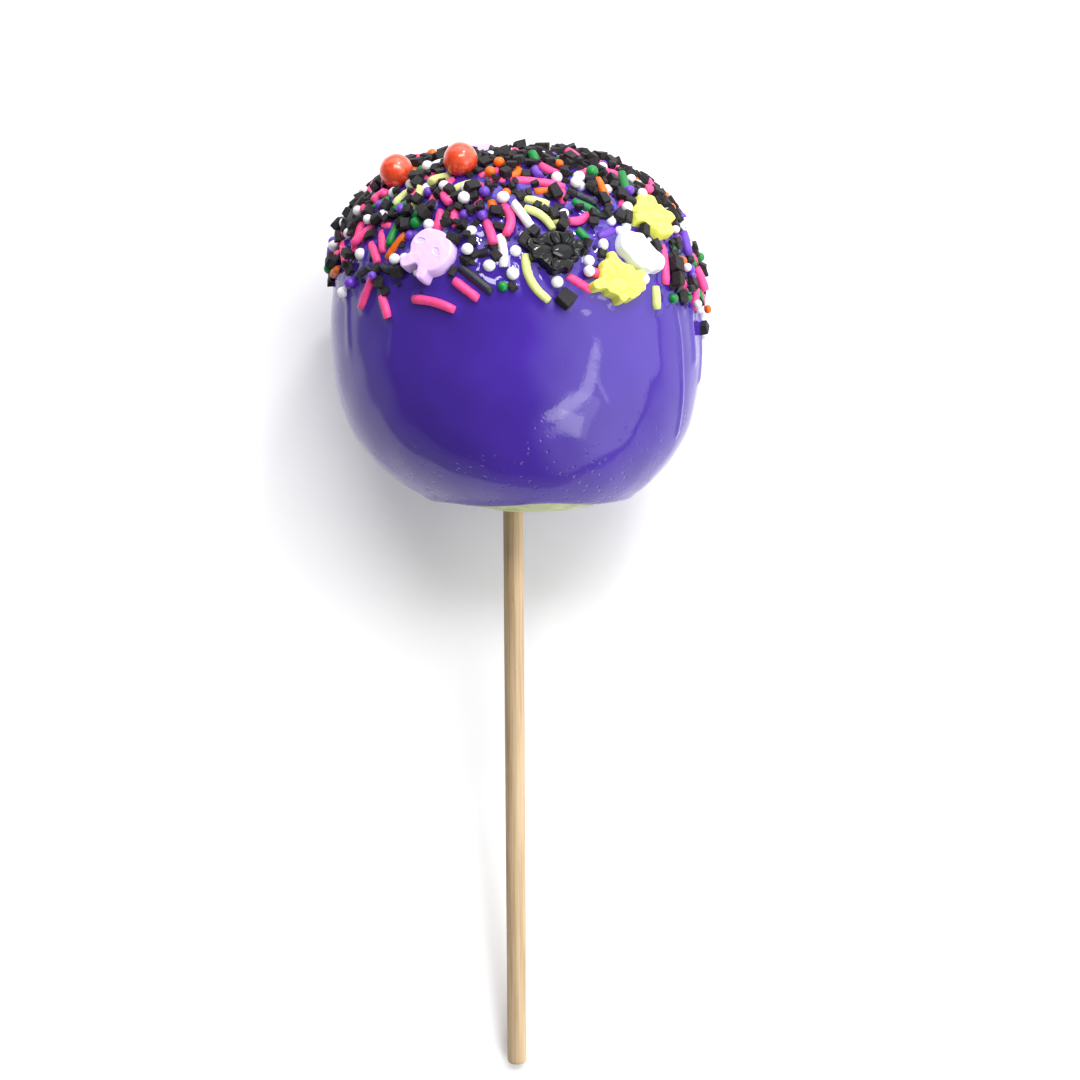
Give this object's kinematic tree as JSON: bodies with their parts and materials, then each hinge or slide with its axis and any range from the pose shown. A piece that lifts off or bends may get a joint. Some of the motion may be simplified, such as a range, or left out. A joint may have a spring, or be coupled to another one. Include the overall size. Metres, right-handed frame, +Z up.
{
  "type": "toffee apple",
  "caption": "Apple on a round wooden stick in a glossy violet toffee shell, its head set with sugar sweets, pearls and sprinkles; it lies on its side.",
  "frame": {"origin": "middle of the small flat spot on the toffee that the apple rests on, on the floor", "axes": "+Z up; +Y level along the part from the stick towards the head with the sweets; +X to the right when looking down with the head away from the viewer. The core is tilted, head high, so that the stick's tip touches the same floor"},
  "size_m": [0.0739, 0.1925, 0.0749],
  "materials": {
    "toffee": "clear glossy set sugar, violet, slightly pitted with tiny bubbles near the stick",
    "apple_skin": "pale green apple skin, satin",
    "stick_wood": "unfinished pale birch with fine lengthwise grain",
    "lilac_sugar": "pressed sugar, satin",
    "white_sugar": "pressed sugar, satin",
    "yellow_sugar": "pressed sugar, satin",
    "black_sugar": "pressed sugar, wet with toffee glaze",
    "orange_pearl": "pearly sugar shell"
  },
  "bodies": {
    "root": {"apple": "apple_skin", "coat": "toffee", "stick": "stick_wood", "ghost_front": "lilac_sugar", "ghost_crown": "lilac_sugar", "ghost_left": "lilac_sugar", "ghost_back": "lilac_sugar", "white_right": "white_sugar", "white_back": "white_sugar", "spider_low": "yellow_sugar", "spider_high": "yellow_sugar", "spider_side": "yellow_sugar", "spider_black": "black_sugar", "spider_back": "black_sugar", "pearl_left": "orange_pearl", "pearl_crown": "orange_pearl", "pearl_right": "orange_pearl", "pearl_back": "orange_pearl"}
  },
  "joints": []
}
